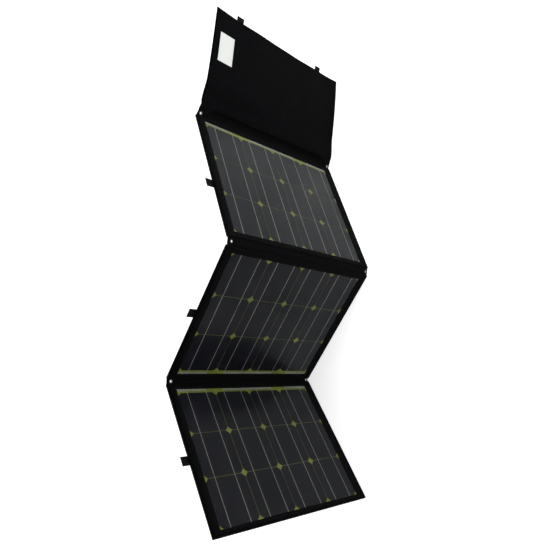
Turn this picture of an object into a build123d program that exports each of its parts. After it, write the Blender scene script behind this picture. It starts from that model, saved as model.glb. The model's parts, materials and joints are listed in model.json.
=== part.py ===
from build123d import *
import math
import os

# A folding solar panel set: three cloth-covered panels and a cover flap, joined by cloth
# hinges and standing in a zigzag on their long edges. Millimetres, +Z up. The origin is the
# middle of the footprint, on the floor. The cells face -Y.

# ---- driving dimensions ----------------------------------------------------------------
CELL_PITCH = 127.0  # centre to centre of neighbouring cells
CELL_WIDTH = 126.0  # across a cell's flats
WAFER_DIAMETER = 164.0  # of the round wafer that each cell is cut from
CELL_ROWS = 3  # along a panel
CELL_COLUMNS = 4  # up a panel
UPPER_BORDER = 24.5  # cells to the upper edge, as the set stands
LOWER_BORDER = 31.0  # cells to the edge that it stands on
FOLD_PITCH = 449.8  # between the fold lines at a panel's two ends
FREE_PANEL_LENGTH = 436.8  # panel 3, from its fold line to its free edge
FLAP_REACH = 316.0  # flap, from its fold line to its free edge
RIBBON_WINDOW = 27.0  # fold line to the border's inner edge, at the ribbon end
RIBBON_CELLS = 39.5  # fold line to the first cell, at the ribbon end

# how far each fold is bent, as it stands
PANEL_2_HEADING = -40.6
FOLD_3_BEND = 74.4
FOLD_2_BEND = 62.2
FOLD_1_ROOT_BEND = 45.0  # panel 1 to the cloth root
FOLD_1_FLAP_BEND = 11.5  # cloth root back to the flap

# cloth hinges: each has a strip of cloth between two bend lines
SPINE_3_WIDTH = 12.0
SPINE_2_WIDTH = 20.0
SPINE_1_WIDTH = 34.0
SPINE_1_EYELET = 8.0  # bend line on panel 1's side to the eyelets
BEND_GAP = 0.8  # bend line to the cloth on each side
END_GAP = 2.0  # bend line to a panel's full thickness
CLOTH_MARGIN = 1.0  # each end of the hinge cloth to the panels' edges

# layers through a panel, from the middle plane
COVER_FACE = 4.0
COVER_INNER = 3.2
CLOTH = COVER_FACE - COVER_INNER
HINGE_HALF = 0.6
BINDING = 0.6
BINDING_LEG = 11.0
POCKET_FLOOR = -0.8  # the laminate's back
LAMINATE_FACE = -2.3
CELL_FACE = -2.6
BUSBAR_FACE = -2.8

LAMINATE_LAP = 8.0  # laminate held under the border, past its window
BUSBAR_WIDTH = 1.6
RIBBON_WIDTH = 6.5
RIBBON_START = 27.5  # fold line to the bus ribbons
RIBBON_RUNS = ((0.0, 0.76), (1.24, 2.76), (3.24, 4.0))  # in cell pitches, up the panel
PLAIN_MARGIN = 0.5  # last cell to the border's inner edge, at the plain end
HIDDEN_RIBBON_WIDTH = 5.0
HIDDEN_RIBBON_GAP = 1.5
HIDDEN_RIBBON_RUNS = ((0.2, 1.8), (2.2, 3.8))

FLAP_FACE = 2.0
FLAP_INNER = 1.2

EYELET_HOLE = 2.5
EYELET_BARREL = 3.1
EYELET_FLANGE = 5.0
EYELET_LIP = 0.5
EYELET_BELOW_TOP = 14.6
EYELET_ABOVE_FLOOR = 10.0

TAB_WIDTH = 25.0
TAB_THICKNESS = 2.4
TAB_SEWN = 26.0
SIDE_TAB_REACH = 19.0
FLAP_TAB_REACH = 17.5
FLAP_TAB_PLACES = (0.535, 3.41)  # cell pitches down from the top of the cells

BOX_LENGTH = 100.0
BOX_WIDTH = 62.0
BOX_DEPTH = 7.0
BOX_WALL = 1.6
BOX_LID = 1.5
BOX_CORNER = 5.0
LID_CHAMFER = 0.6
BOX_START = 60.0  # ribbon-end fold line to the box
BOX_ABOVE_MIDDLE = 75.0
DIODE_BODY = (2.6, 9.5)  # radius and length
DIODE_LEADS = (0.5, 24.0)  # radius, and length from tip to tip
DIODE_ABOVE_BASE = 2.8
TERMINAL_SPAN = (12.0, 26.0)  # box's middle to a terminal's near and far ends
TERMINAL_HEIGHT = 4.2
TERMINAL_HALF_WIDTH = 7.0
LEAD_HOLE = 2.5
DRILL_LENGTH = 40.0  # cuts right through what it is put in
GLAND_ABOVE_COVER = 4.1
GLAND_FROM_CORNER = 18.0
GLAND_HEX = 3.9
GLAND_SLEEVE = (3.3, 11.0)  # radius and length
GLAND_COLLAR = 2.0
GLAND_RIB = (3.55, 1.2)  # radius and thickness
GLAND_RIB_PITCH = 2.4

LABEL_LENGTH = 84.0
LABEL_HEIGHT = 51.0
LABEL_THICKNESS = 0.3
LABEL_START = 170.0  # fold line to the label
LABEL_BELOW_TOP = 36.0

# ---- sizes that follow -----------------------------------------------------------------
CELLS_HIGH = CELL_PITCH * CELL_COLUMNS
CELLS_LONG = CELL_PITCH * CELL_ROWS
HEIGHT = LOWER_BORDER + CELLS_HIGH + UPPER_BORDER
WINDOW_STOP = RIBBON_CELLS + CELLS_LONG + PLAIN_MARGIN
CELL_GAP = CELL_PITCH - CELL_WIDTH
PANEL_FACE = COVER_FACE + BINDING
FLAP_OUTER = FLAP_FACE + BINDING
SPINE_1_REACH = SPINE_1_WIDTH - SPINE_1_EYELET


def block(x, y, z):
    """A box from pairs of limits along X, Y and Z."""
    size = [high - low for low, high in (x, y, z)]
    centre = [(high + low) / 2 for low, high in (x, y, z)]
    return Pos(*centre) * Box(*size)


def along(point, heading, distance):
    """The point that lies a distance from another, along a heading in plan."""
    angle = math.radians(heading)
    return point[0] + distance * math.cos(angle), point[1] + distance * math.sin(angle)


def frame_at(point, heading):
    """The upright frame of a piece of the zigzag: X along it, -Y out of its front."""
    return Location((point[0], point[1], 0), (0, 0, heading))


# ---- the zigzag in plan, from panel 2 outwards -----------------------------------------
heading = {"panel_2": PANEL_2_HEADING}
heading["spine_23"] = heading["panel_2"] + FOLD_3_BEND / 2
heading["panel_3"] = heading["panel_2"] + FOLD_3_BEND
heading["spine_12"] = heading["panel_2"] + FOLD_2_BEND / 2
heading["panel_1"] = heading["panel_2"] + FOLD_2_BEND
heading["spine_01"] = heading["panel_1"] - FOLD_1_ROOT_BEND
heading["flap"] = heading["spine_01"] + FOLD_1_FLAP_BEND

length = {
    "panel_3": FREE_PANEL_LENGTH - SPINE_3_WIDTH / 2,
    "spine_23": SPINE_3_WIDTH,
    "panel_2": FOLD_PITCH - (SPINE_3_WIDTH + SPINE_2_WIDTH) / 2,
    "spine_12": SPINE_2_WIDTH,
    "panel_1": FOLD_PITCH - SPINE_2_WIDTH / 2 - SPINE_1_EYELET,
    "spine_01": SPINE_1_WIDTH,
    "flap": FLAP_REACH - SPINE_1_REACH,
}
CHAIN = list(length)

# where each piece starts, walking from panel 3's free edge to the flap's
start = {"panel_3": (0.0, 0.0)}
for before, after in zip(CHAIN, CHAIN[1:]):
    start[after] = along(start[before], heading[before], length[before])

# ---- panel pieces, each in its panel's own frame ---------------------------------------
# X runs from the fold line at the ribbon end, Z from 0 to HEIGHT, and -Y is the front.


class Panel:
    """Where one panel's covers start and stop, and which way up it hangs."""

    def __init__(self, name, ribbon_gap, stop, free_end, turned, tab, has_gland):
        self.name = name
        self.ribbon_hinge = ribbon_gap
        self.plain_hinge = stop
        self.free_end = free_end
        self.turned = turned
        self.tab = tab
        self.has_gland = has_gland
        self.foot = UPPER_BORDER if turned else LOWER_BORDER
        self.low = ribbon_gap + END_GAP
        self.high = stop - (BINDING if free_end else END_GAP)

    def place(self):
        """Puts the panel's own frame into the zigzag, the ribbon end first or last."""
        if not self.turned:
            return frame_at(start[self.name], heading[self.name]) * Pos(-self.ribbon_hinge, 0, 0)
        far = along(start[self.name], heading[self.name], length[self.name])
        return (
            frame_at(far, heading[self.name])
            * Pos(self.ribbon_hinge, 0, HEIGHT)
            * Rot(0, 180, 0)
        )

    def place_tab(self):
        """Puts a piece that is modelled about X = 0 at the tab's place, always upright."""
        if not self.turned:
            return frame_at(start[self.name], heading[self.name]) * Pos(
                self.tab - self.ribbon_hinge, 0, 0
            )
        far = along(start[self.name], heading[self.name], length[self.name])
        return frame_at(far, heading[self.name]) * Pos(self.ribbon_hinge - self.tab, 0, 0)


PANELS = [
    Panel("panel_1", SPINE_1_EYELET, FOLD_PITCH - SPINE_2_WIDTH / 2, False, True, 263.0, True),
    Panel("panel_2", SPINE_3_WIDTH / 2, FOLD_PITCH - SPINE_2_WIDTH / 2, False, False, 226.0, False),
    Panel("panel_3", SPINE_3_WIDTH / 2, FREE_PANEL_LENGTH, True, True, 236.0, False),
]

INSIDE = (BINDING, HEIGHT - BINDING)


def back_cover(panel):
    """Back cloth, with a wall at each hinged end and a tongue that runs to the bend line."""
    sheet = block((panel.low, panel.high), (COVER_INNER, COVER_FACE), INSIDE)
    ends = [(panel.low, panel.low + CLOTH, panel.ribbon_hinge + BEND_GAP, panel.low)]
    if not panel.free_end:
        ends.append(
            (panel.high - CLOTH, panel.high, panel.high, panel.plain_hinge - BEND_GAP)
        )
    for wall_low, wall_high, tongue_low, tongue_high in ends:
        sheet += block((wall_low, wall_high), (-COVER_INNER, COVER_FACE), INSIDE)
        sheet += block((tongue_low, tongue_high), (-HINGE_HALF, HINGE_HALF), INSIDE)
    return sheet


def laminate_outline(panel):
    """The laminate's limits along X and Z: the window, and a lap under the border."""
    x = (RIBBON_WINDOW - LAMINATE_LAP, WINDOW_STOP + LAMINATE_LAP)
    z = (panel.foot - LAMINATE_LAP, panel.foot + CELLS_HIGH + LAMINATE_LAP)
    return x, z


def core_board(panel):
    """Stiff foam board, with a pocket in its front that holds the laminate."""
    stop = panel.high if panel.free_end else panel.high - CLOTH
    board = block((panel.low + CLOTH, stop), (-COVER_INNER, COVER_INNER), INSIDE)
    x, z = laminate_outline(panel)
    return board - block(x, (-COVER_INNER, POCKET_FLOOR), z)


def laminate(panel):
    x, z = laminate_outline(panel)
    return block(x, (LAMINATE_FACE, POCKET_FLOOR), z)


def cell_centres(panel):
    """Each cell's centre, along X and up Z."""
    for row in range(CELL_ROWS):
        for column in range(CELL_COLUMNS):
            yield (
                RIBBON_CELLS + (row + 0.5) * CELL_PITCH,
                panel.foot + (column + 0.5) * CELL_PITCH,
            )


def cells(panel):
    """Square wafers whose corners are cut off by the round wafer's edge."""
    thickness = LAMINATE_FACE - CELL_FACE
    wafer = Box(CELL_WIDTH, thickness, CELL_WIDTH) & (
        Rot(90, 0, 0) * Cylinder(WAFER_DIAMETER / 2, thickness)
    )
    middle = (LAMINATE_FACE + CELL_FACE) / 2
    return Compound([Pos(x, middle, z) * wafer.solid() for x, z in cell_centres(panel)])


def busbars(panel):
    """Two flat wires on each cell; those at the ribbon end run on over the ribbons."""
    wires = []
    for x, z in cell_centres(panel):
        low = x - CELL_WIDTH / 2
        if x < RIBBON_CELLS + CELL_PITCH:
            low = RIBBON_START + CELL_GAP
        for offset in (-CELL_PITCH / 4, CELL_PITCH / 4):
            height = (z + offset - BUSBAR_WIDTH / 2, z + offset + BUSBAR_WIDTH / 2)
            wires.append(block((low, x + CELL_WIDTH / 2), (BUSBAR_FACE, CELL_FACE), height).solid())
    return Compound(wires)


def bus_ribbons(panel):
    """Three wide ribbons at the ribbon end, and two under the border at the plain end."""
    seen = (RIBBON_START, RIBBON_START + RIBBON_WIDTH)
    hidden_start = WINDOW_STOP + HIDDEN_RIBBON_GAP
    hidden = (hidden_start, hidden_start + HIDDEN_RIBBON_WIDTH)
    ribbons = []
    for x, runs in ((seen, RIBBON_RUNS), (hidden, HIDDEN_RIBBON_RUNS)):
        for low, high in runs:
            z = (panel.foot + low * CELL_PITCH, panel.foot + high * CELL_PITCH)
            ribbons.append(block(x, (CELL_FACE, LAMINATE_FACE), z).solid())
    return Compound(ribbons)


def front_sheet(panel):
    x, z = laminate_outline(panel)
    return block(x, (-COVER_INNER, BUSBAR_FACE), z)


def front_border(panel):
    """Front cloth with one window, over the cells and the ribbons."""
    cloth = block((panel.low, panel.high), (-COVER_FACE, -COVER_INNER), INSIDE)
    window_z = (panel.foot, panel.foot + CELLS_HIGH)
    return cloth - block((RIBBON_WINDOW, WINDOW_STOP), (-COVER_FACE, -COVER_INNER), window_z)


def edge_binding(panel):
    """Tape folded over the long edges, and over the free edge where there is one."""
    stop = panel.plain_hinge if panel.free_end else panel.high
    whole = block((panel.low, stop), (-PANEL_FACE, PANEL_FACE), (0, HEIGHT))
    held = block((panel.low, panel.high), (-COVER_FACE, COVER_FACE), INSIDE)
    face_stop = stop - BINDING_LEG if panel.free_end else stop
    open_face = block(
        (panel.low, face_stop),
        (-PANEL_FACE, PANEL_FACE),
        (BINDING_LEG, HEIGHT - BINDING_LEG),
    )
    tape = whole - held - open_face
    return Compound(tape.solids())


def webbing_tab(reach, face, height):
    """Webbing folded double: sewn to the back, with its round fold past the edge."""
    middle = face + TAB_THICKNESS / 2
    top = height + reach
    strap = block(
        (-TAB_WIDTH / 2, TAB_WIDTH / 2),
        (face, face + TAB_THICKNESS),
        (height - TAB_SEWN, top - TAB_THICKNESS / 2),
    )
    fold = Pos(0, middle, top - TAB_THICKNESS / 2) * Rot(0, 90, 0) * Cylinder(
        TAB_THICKNESS / 2, TAB_WIDTH
    )
    return strap + fold


def box_limits():
    x = (BOX_START, BOX_START + BOX_LENGTH)
    middle = HEIGHT / 2 + BOX_ABOVE_MIDDLE
    z = (middle - BOX_WIDTH / 2, middle + BOX_WIDTH / 2)
    return x, z


def inset(limits, margin):
    return limits[0] + margin, limits[1] - margin


def box_base(panel):
    """Low junction box on the back cloth, open at its back."""
    x, z = box_limits()
    y = (COVER_FACE, COVER_FACE + BOX_DEPTH)
    base = block(x, y, z)
    base = fillet(base.edges().filter_by(Axis.Y), BOX_CORNER)
    base -= block(inset(x, BOX_WALL), (y[0] + BOX_WALL, y[1]), inset(z, BOX_WALL))
    if panel.has_gland:
        base -= gland_core()
    return base


def box_lid(panel):
    x, z = box_limits()
    y = (COVER_FACE + BOX_DEPTH, COVER_FACE + BOX_DEPTH + BOX_LID)
    lid = block(x, y, z)
    lid = fillet(lid.edges().filter_by(Axis.Y), BOX_CORNER)
    return chamfer(lid.faces().sort_by(Axis.Y)[-1].edges(), LID_CHAMFER)


def bypass_diode(panel):
    """Axial diode, lying between the two terminals."""
    x, z = box_limits()
    y = COVER_FACE + BOX_WALL + DIODE_ABOVE_BASE
    centre = Pos(sum(x) / 2, y, sum(z) / 2) * Rot(0, 90, 0)
    return centre * (Cylinder(*DIODE_BODY) + Cylinder(*DIODE_LEADS))


def box_terminals(panel):
    """Two solder blocks on the box's floor."""
    x, z = box_limits()
    middle_x, middle_z = sum(x) / 2, sum(z) / 2
    y = (COVER_FACE + BOX_WALL, COVER_FACE + BOX_WALL + TERMINAL_HEIGHT)
    height = (middle_z - TERMINAL_HALF_WIDTH, middle_z + TERMINAL_HALF_WIDTH)
    blocks = []
    for side in (-1, 1):
        reach = sorted(middle_x + side * distance for distance in TERMINAL_SPAN)
        blocks.append(block(reach, y, height).solid())
    return Compound(blocks)


def gland_place():
    x, z = box_limits()
    return Pos(x[1] - GLAND_FROM_CORNER, COVER_FACE + GLAND_ABOVE_COVER, z[1])


def gland_core():
    """The way through the gland and the box's wall, along Z."""
    return gland_place() * Cylinder(LEAD_HOLE, DRILL_LENGTH)


def output_gland():
    """Strain relief for the output lead, on the junction box's long wall."""
    hexagon = RegularPolygon(GLAND_HEX, 6, rotation=30)
    gland = Pos(0, 0, GLAND_COLLAR) * extrude(hexagon, GLAND_COLLAR, both=True)
    sleeve_start = 2 * GLAND_COLLAR
    gland += Pos(0, 0, sleeve_start) * extrude(Circle(GLAND_SLEEVE[0]), GLAND_SLEEVE[1])
    for step in (1, 2, 3):
        rib_start = sleeve_start + step * GLAND_RIB_PITCH
        gland += Pos(0, 0, rib_start) * extrude(Circle(GLAND_RIB[0]), GLAND_RIB[1])
    return gland_place() * gland - gland_core()


# ---- spine pieces, each from its first bend line ---------------------------------------


def eyelet_places(x):
    return [(x, EYELET_ABOVE_FLOOR), (x, HEIGHT - EYELET_BELOW_TOP)]


def spine_cloth(width, eyelet_x):
    """The strip of cloth between two bend lines, punched for its eyelets."""
    z = (CLOTH_MARGIN, HEIGHT - CLOTH_MARGIN)
    cloth = block((BEND_GAP, width - BEND_GAP), (-HINGE_HALF, HINGE_HALF), z)
    for x, eyelet_z in eyelet_places(eyelet_x):
        cloth -= Pos(x, 0, eyelet_z) * Rot(90, 0, 0) * Cylinder(EYELET_BARREL, DRILL_LENGTH)
    return cloth


def eyelets(eyelet_x):
    """The flanged half of each eyelet: its front flange and the barrel through the cloth."""
    rings = []
    for x, z in eyelet_places(eyelet_x):
        barrel = Cylinder(EYELET_BARREL, 2 * HINGE_HALF)
        flange = Pos(0, 0, HINGE_HALF + EYELET_LIP / 2) * Cylinder(EYELET_FLANGE, EYELET_LIP)
        hole = Cylinder(EYELET_HOLE, DRILL_LENGTH)
        rings.append((Pos(x, 0, z) * Rot(90, 0, 0) * (barrel + flange - hole)).solid())
    return Compound(rings)


def washers(eyelet_x):
    """The flat ring that each eyelet's barrel is rolled over, behind the cloth."""
    rings = []
    for x, z in eyelet_places(eyelet_x):
        ring = Cylinder(EYELET_FLANGE, EYELET_LIP) - Cylinder(EYELET_HOLE, DRILL_LENGTH)
        y = HINGE_HALF + EYELET_LIP / 2
        rings.append((Pos(x, y, z) * Rot(90, 0, 0) * ring).solid())
    return Compound(rings)


# ---- flap pieces, from the flap's bend line --------------------------------------------

FLAP_STOP = length["flap"]
FLAP_X = (END_GAP, FLAP_STOP - BINDING)


def flap_outer_cloth():
    """Outer cloth, with an end wall and a tongue that runs to the bend line."""
    sheet = block(FLAP_X, (FLAP_INNER, FLAP_FACE), INSIDE)
    sheet += block((END_GAP, END_GAP + CLOTH), (-FLAP_INNER, FLAP_FACE), INSIDE)
    return sheet + block((BEND_GAP, END_GAP), (-HINGE_HALF, HINGE_HALF), INSIDE)


def flap_stiffener():
    return block((END_GAP + CLOTH, FLAP_X[1]), (-FLAP_INNER, FLAP_INNER), INSIDE)


def flap_inner_cloth():
    return block(FLAP_X, (-FLAP_FACE, -FLAP_INNER), INSIDE)


def flap_binding():
    """Tape folded over the flap's three free edges."""
    whole = block((END_GAP, FLAP_STOP), (-FLAP_OUTER, FLAP_OUTER), (0, HEIGHT))
    held = block(FLAP_X, (-FLAP_FACE, FLAP_FACE), INSIDE)
    open_face = block(
        (END_GAP, FLAP_STOP - BINDING_LEG),
        (-FLAP_OUTER, FLAP_OUTER),
        (BINDING_LEG, HEIGHT - BINDING_LEG),
    )
    return whole - held - open_face


def flap_tabs():
    """Two webbing tabs at the free edge, folded like the side tabs but lying along X."""
    tab = webbing_tab(FLAP_TAB_REACH, FLAP_OUTER, 0.0)
    heights = [HEIGHT - UPPER_BORDER - place * CELL_PITCH for place in FLAP_TAB_PLACES]
    return Compound([(Pos(FLAP_STOP, 0, z) * Rot(0, 90, 0) * tab).solid() for z in heights])


def flap_label():
    """Blank label, sewn to the inner cloth near the top corner."""
    x = LABEL_START - SPINE_1_REACH
    top = HEIGHT - LABEL_BELOW_TOP
    return block(
        (x, x + LABEL_LENGTH),
        (-FLAP_FACE - LABEL_THICKNESS, -FLAP_FACE),
        (top - LABEL_HEIGHT, top),
    )


# ---- assembly --------------------------------------------------------------------------

PANEL_PIECES = {
    "back_cover": back_cover,
    "core_board": core_board,
    "laminate": laminate,
    "cells": cells,
    "busbars": busbars,
    "bus_ribbons": bus_ribbons,
    "front_sheet": front_sheet,
    "front_border": front_border,
    "edge_binding": edge_binding,
    "junction_box": box_base,
    "junction_lid": box_lid,
    "bypass_diode": bypass_diode,
    "box_terminals": box_terminals,
}

SPINES = {
    "spine_23": ("fold_3", SPINE_3_WIDTH, SPINE_3_WIDTH / 2),
    "spine_12": ("fold_2", SPINE_2_WIDTH, SPINE_2_WIDTH / 2),
    "spine_01": ("fold_1", SPINE_1_WIDTH, SPINE_1_EYELET),
}


def build():
    """Every node's shape in the zigzag, and the body that it belongs to."""
    nodes, bodies = {}, {}

    def add(body, name, shape):
        nodes[name] = shape
        bodies.setdefault(body, []).append(name)

    for panel in PANELS:
        for piece, make in PANEL_PIECES.items():
            add(panel.name, f"{panel.name}_{piece}", panel.place() * make(panel))
        tab = webbing_tab(SIDE_TAB_REACH, PANEL_FACE, HEIGHT)
        add(panel.name, f"{panel.name}_side_tab", panel.place_tab() * tab)
        if panel.has_gland:
            add(panel.name, "output_gland", panel.place() * output_gland())

    for body, (fold, width, eyelet_x) in SPINES.items():
        frame = frame_at(start[body], heading[body])
        add(body, f"{fold}_cloth", frame * spine_cloth(width, eyelet_x))
        add(body, f"{fold}_eyelets", frame * eyelets(eyelet_x))
        add(body, f"{fold}_washers", frame * washers(eyelet_x))

    frame = frame_at(start["flap"], heading["flap"])
    flap_pieces = (
        flap_outer_cloth,
        flap_stiffener,
        flap_inner_cloth,
        flap_binding,
        flap_tabs,
        flap_label,
    )
    for make in flap_pieces:
        add("flap", make.__name__, frame * make())
    return nodes, bodies


nodes, bodies = build()
outside = Compound(list(nodes.values())).bounding_box()
shift = Pos(-outside.center().X, -outside.center().Y, -outside.min.Z)

os.makedirs("parts", exist_ok=True)
for name, shape in nodes.items():
    export_step(shift * shape, f"parts/{name}.step")

print(f"{len(nodes)} nodes, size {outside.size.X:.1f} x {outside.size.Y:.1f} x {outside.size.Z:.1f}")
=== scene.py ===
import json
import math

import bmesh
import bpy
import numpy as np
from mathutils import Matrix, Vector, noise


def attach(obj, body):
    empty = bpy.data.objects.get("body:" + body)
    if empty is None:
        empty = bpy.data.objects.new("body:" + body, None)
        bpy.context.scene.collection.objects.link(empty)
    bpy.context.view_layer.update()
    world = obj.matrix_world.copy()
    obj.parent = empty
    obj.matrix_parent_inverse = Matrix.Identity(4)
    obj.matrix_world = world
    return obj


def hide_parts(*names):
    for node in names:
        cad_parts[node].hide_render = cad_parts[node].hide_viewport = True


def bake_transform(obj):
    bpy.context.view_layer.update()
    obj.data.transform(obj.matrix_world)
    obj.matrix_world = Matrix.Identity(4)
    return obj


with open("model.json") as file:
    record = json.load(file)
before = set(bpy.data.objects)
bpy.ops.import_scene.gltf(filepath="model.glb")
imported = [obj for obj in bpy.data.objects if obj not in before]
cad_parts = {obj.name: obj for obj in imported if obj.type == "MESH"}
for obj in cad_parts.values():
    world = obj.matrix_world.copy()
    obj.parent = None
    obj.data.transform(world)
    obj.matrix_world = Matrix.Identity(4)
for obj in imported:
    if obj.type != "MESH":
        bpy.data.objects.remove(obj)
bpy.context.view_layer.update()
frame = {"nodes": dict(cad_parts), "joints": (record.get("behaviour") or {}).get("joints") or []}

# A folding solar panel set, standing in a zigzag. The pieces' lengths are in millimetres and are
# turned into metres when a mesh is made.

NODES = frame["nodes"]
BENDS = {j["name"]: np.array(j["pos_m"]) * 1000 for j in frame["joints"]}

# ---- sizes of the soft pieces ----------------------------------------------------------
LAP = 8.0  # laminate held under the front border
COVER, FLAP = 4.0, 2.0  # half thicknesses of a panel and of the flap
CLOTH_HALF = 0.62  # half the thickness of a fold's cloth
TAPE, LEG = 0.6, 11.0  # binding tape: thickness, and width on each face
TAPE_SEAM = 9.2  # the tape's sewing line, in from the edge
TAB_WIDTH, TAB_LAYER, TAB_SEWN = 25.0, 1.15, 26.0
STITCH, STITCH_GAP, THREAD = 2.5, 0.9, 0.27
THREAD_LIFT = 0.04  # sewing thread above the tape
EYELET_HOLE, DRILL_DEPTH = 2.75, 14.0
CELL_PITCH = 127.0
FOLD_INSIDE = 4.0  # a fold's cloth held inside the body next to it
GRID = 7.0  # usual distance between a cloth's stations
PANELS = ("panel_1", "panel_2", "panel_3")


def smooth(t):
    """Eases from 0 to 1 as t goes from 0 to 1."""
    t = np.clip(t, 0.0, 1.0)
    return t * t * (3 - 2 * t)


# ---- the zigzag's stretches ------------------------------------------------------------


class Run:
    """One body's own frame: x along the zigzag, y out of its back, z up, in millimetres."""

    def __init__(self, body, origin, sample):
        points = np.array([v.co[:2] for v in NODES[sample].data.vertices])
        along = np.linalg.svd(points - points.mean(0))[2][0]
        along = along if along[0] > 0 else -along
        self.body = body
        self.origin = np.array([origin[0], origin[1], 0.0])
        self.axes = np.array([[along[0], along[1], 0], [-along[1], along[0], 0], [0, 0, 1.0]])

    def world(self, points):
        return (np.asarray(points, float) @ self.axes + self.origin) / 1000

    def limits(self, node):
        """A CAD node's lowest and highest x, y and z in this frame."""
        points = np.array([v.co for v in NODES[node].data.vertices]) * 1000
        local = (points - self.origin) @ self.axes.T
        return local.min(0), local.max(0)


RUN = {
    "panel_1": Run("panel_1", BENDS["fold_2_near_panel_1"], "panel_1_laminate"),
    "panel_2": Run("panel_2", BENDS["fold_3_near_panel_2"], "panel_2_laminate"),
    "panel_3": Run("panel_3", BENDS["fold_3_near_panel_3"], "panel_3_laminate"),
    "spine_23": Run("spine_23", BENDS["fold_3_near_panel_3"], "fold_3_cloth"),
    "spine_12": Run("spine_12", BENDS["fold_2_near_panel_2"], "fold_2_cloth"),
    "spine_01": Run("spine_01", BENDS["fold_1_near_panel_1"], "fold_1_cloth"),
    "flap": Run("flap", BENDS["fold_1_near_flap"], "flap_stiffener"),
}
HEIGHT = RUN["panel_2"].limits("panel_2_edge_binding")[1][2]

# ---- node trees ------------------------------------------------------------------------


class Shader:
    """A material's node tree, with short calls to add and join nodes."""

    def __init__(self, name, **values):
        self.material = bpy.data.materials.new(name)
        self.material.use_nodes = True
        self.tree = self.material.node_tree
        self.surface = self.tree.nodes["Principled BSDF"]
        self.set(self.surface, values)

    def set(self, node, values):
        for key, value in values.items():
            socket = node.inputs[key if isinstance(key, int) else key.replace("_", " ")]
            if isinstance(value, bpy.types.NodeSocket):
                self.tree.links.new(value, socket)
            elif hasattr(socket.default_value, "__len__") and len(value) == 3 < len(
                socket.default_value
            ):
                socket.default_value = (*value, 1.0)
            else:
                socket.default_value = value

    def add(self, kind, out=0, attributes=(), **values):
        node = self.tree.nodes.new("ShaderNode" + kind)
        for key, value in dict(attributes).items():
            setattr(node, key, value)
        self.set(node, values)
        return node.outputs[out]

    def math(self, operation, *values):
        node = self.tree.nodes.new("ShaderNodeMath")
        node.operation = operation
        self.set(node, dict(enumerate(values)))
        return node.outputs[0]

    def mix(self, factor, a, b):
        node = self.tree.nodes.new("ShaderNodeMix")
        node.data_type = "RGBA"
        self.set(node, {0: factor, 6: a, 7: b})
        return node.outputs[2]

    def ramp(self, value, low, high):
        return self.add("MapRange", attributes={"clamp": True}, Value=value, From_Min=low, From_Max=high)

    def noise(self, vector, scale, detail=3.0, rough=0.5):
        return self.add("TexNoise", Vector=vector, Scale=scale, Detail=detail, Roughness=rough)

    def bump(self, height, distance, strength=1.0, normal=None):
        values = {"Height": height, "Distance": distance, "Strength": strength}
        if normal is not None:
            values["Normal"] = normal
        return self.add("Bump", **values)

    def finish(self, **values):
        self.set(self.surface, values)
        return self.material

    def split(self, vector):
        node = self.tree.nodes.new("ShaderNodeSeparateXYZ")
        self.set(node, {0: vector})
        return node.outputs

    def uv(self):
        return self.add("TexCoord", out=2)

    def place(self):
        return self.add("TexCoord", out=3)


def woven(name, dark, light, pitch, relief, rough=0.9, fuzz=0.03, fade=0.25):
    """Plain weave from UVs in metres: threads over and under with painted shade in the hollows between them,
    slubs, and faded patches.
    """
    s = Shader(name)
    uv, place = s.uv(), s.place()
    slub = s.noise(uv, 900.0, 2.0)
    u, v, _ = s.split(uv)
    across = s.math("ABSOLUTE", s.math("SINE", s.math("MULTIPLY", u, math.pi / pitch)))
    up = s.math("ABSOLUTE", s.math("SINE", s.math("MULTIPLY", v, math.pi / pitch)))
    over = s.add("TexChecker", out=1, Vector=uv, Scale=1 / pitch)
    thread = s.math("ADD", s.math("MULTIPLY", over, across),
                    s.math("MULTIPLY", s.math("SUBTRACT", 1.0, over), up))
    thread = s.math("MULTIPLY", thread, s.math("ADD", 0.7, s.math("MULTIPLY", slub, 0.6)))
    patch = s.ramp(s.noise(place, 14.0, 5.0, 0.6), 0.3, 0.75)
    dust = s.ramp(s.noise(place, 260.0, 2.0), 0.62, 0.8)
    kept = s.math("ADD", 1 - fade, s.math("MULTIPLY", patch, fade))
    # colour follows the threads' height, so the hollows between threads are painted shade; the faded patches
    # are real
    colour = s.mix(s.math("MULTIPLY", thread, kept), dark, light)
    colour = s.mix(s.math("MULTIPLY", dust, fuzz), colour, (0.25, 0.24, 0.23))
    roughness = s.math("ADD", rough - 0.08, s.math("MULTIPLY", slub, 0.16))
    soft = s.bump(s.noise(place, 45.0, 3.0), 0.0006)
    return s.finish(Base_Color=colour, Roughness=roughness, Normal=s.bump(thread, relief, 0.8, soft),
                    Specular_IOR_Level=0.04)


def ribbed(name, dark, light, rib, twill, relief, spec=0.12):
    """Grosgrain or webbing from UVs in metres: ribs across the tape and thread ends along them, with painted
    shade between the ribs.
    """
    s = Shader(name)
    uv, place = s.uv(), s.place()
    u, v, _ = s.split(uv)
    wander = s.math("MULTIPLY", s.noise(uv, 300.0, 2.0), rib * 0.5)
    ribs = s.math("ABSOLUTE", s.math("SINE", s.math("MULTIPLY", s.math("ADD", u, wander), math.pi / rib)))
    slant = s.math("ADD", v, s.math("MULTIPLY", u, 0.5))
    ends = s.math("ABSOLUTE", s.math("SINE", s.math("MULTIPLY", slant, math.pi / twill)))
    height = s.math("MULTIPLY", ribs, s.math("ADD", 0.55, s.math("MULTIPLY", ends, 0.45)))
    worn = s.ramp(s.noise(place, 30.0, 4.0, 0.6), 0.35, 0.8)
    # colour follows the ribs' height, so the hollows between ribs and thread ends are painted shade; the worn
    # patches are real wear
    colour = s.mix(s.math("MULTIPLY", height, s.math("ADD", 0.6, s.math("MULTIPLY", worn, 0.4))), dark, light)
    return s.finish(Base_Color=colour, Roughness=s.math("ADD", 0.7, s.math("MULTIPLY", ends, 0.18)),
                    Normal=s.bump(height, relief, 0.8), Specular_IOR_Level=spec)


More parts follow.
